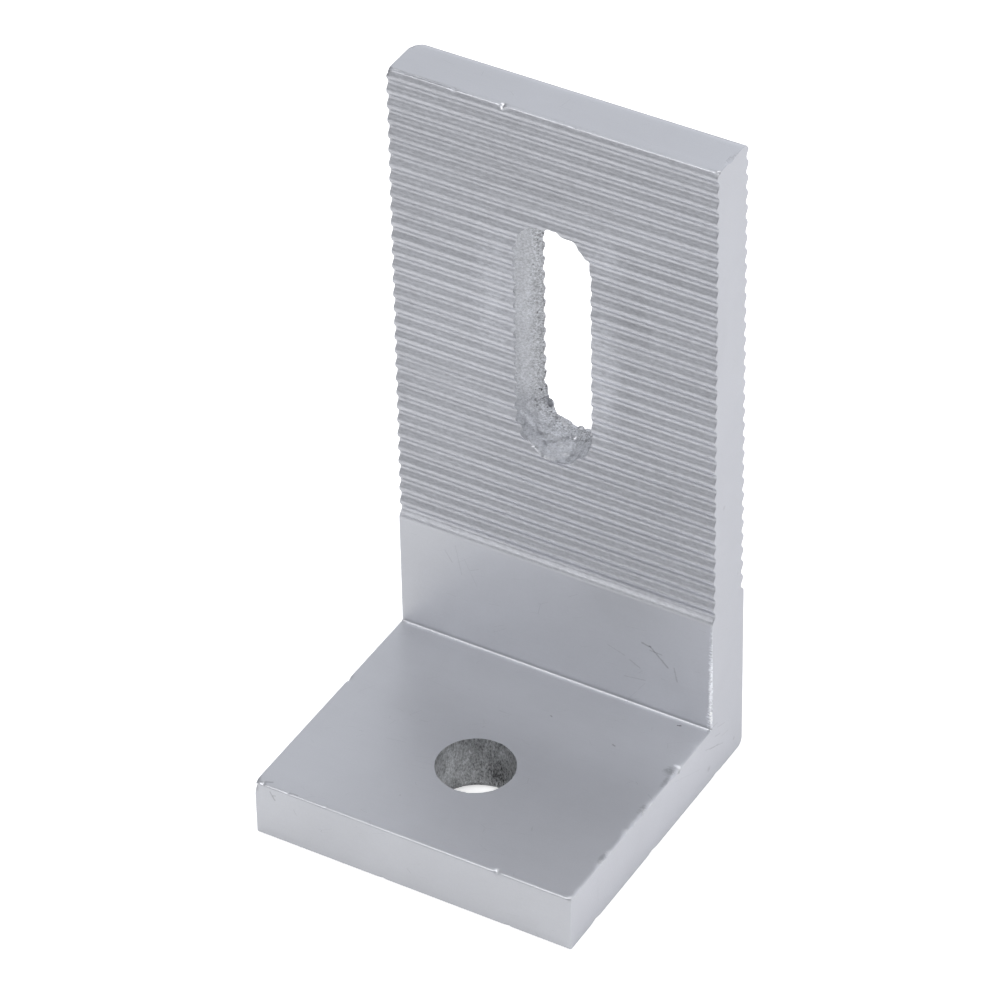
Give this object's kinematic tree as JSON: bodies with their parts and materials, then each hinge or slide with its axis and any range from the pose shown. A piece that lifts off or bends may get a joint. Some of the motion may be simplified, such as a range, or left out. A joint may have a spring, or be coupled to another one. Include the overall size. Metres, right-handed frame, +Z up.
{
  "type": "solar l foot bracket",
  "caption": "Extruded L-shaped roof foot for a solar rail: a flat base leg with a bolt hole, and an upright serrated on both faces with a vertical slot for the clamp bolt.",
  "frame": {"origin": "centre of the bolt hole on the underside of the base leg", "axes": "+X along the extrusion, +Y from the base leg's tip towards the upright, +Z up the upright"},
  "size_m": [0.0414, 0.0408, 0.086],
  "materials": {
    "aluminium": "satin mill finish, sawn end faces, drilled and routed holes left rough"
  },
  "bodies": {
    "root": {"l_foot_bracket": "aluminium"}
  },
  "joints": []
}
